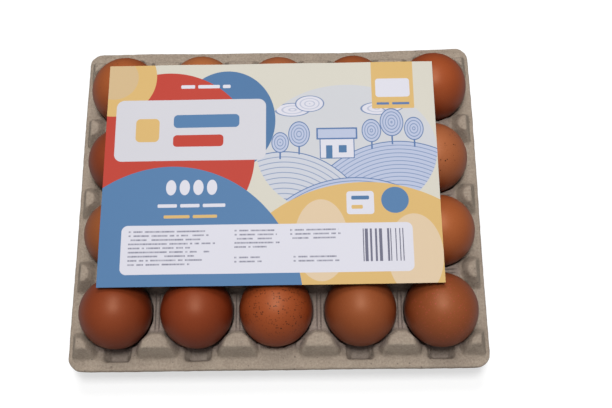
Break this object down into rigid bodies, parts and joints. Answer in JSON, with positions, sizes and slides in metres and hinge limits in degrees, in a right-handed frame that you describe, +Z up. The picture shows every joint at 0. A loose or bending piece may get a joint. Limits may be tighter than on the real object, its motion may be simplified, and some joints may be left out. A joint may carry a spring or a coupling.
{
  "type": "egg tray with eggs",
  "caption": "Open moulded-pulp egg tray filled with brown hen's eggs, with a printed card lying flat on the egg tops.",
  "frame": {"origin": "under the middle of the tray, on the surface that the cups stand on", "axes": "+X along the tray's width to the viewer's right, +Y to its back, +Z up"},
  "size_m": [0.2636, 0.2206, 0.0627],
  "materials": {
    "pulp": "matte",
    "shell": "satin",
    "print": "satin"
  },
  "bodies": {
    "root": {"tray": "pulp", "card": "print", "egg_r1_c1": "shell", "egg_r1_c2": "shell", "egg_r1_c3": "shell", "egg_r1_c4": "shell", "egg_r1_c5": "shell", "egg_r2_c1": "shell", "egg_r2_c2": "shell", "egg_r2_c3": "shell", "egg_r2_c4": "shell", "egg_r2_c5": "shell", "egg_r3_c1": "shell", "egg_r3_c2": "shell", "egg_r3_c3": "shell", "egg_r3_c4": "shell", "egg_r3_c5": "shell", "egg_r4_c1": "shell", "egg_r4_c2": "shell", "egg_r4_c3": "shell", "egg_r4_c4": "shell", "egg_r4_c5": "shell"}
  },
  "joints": []
}
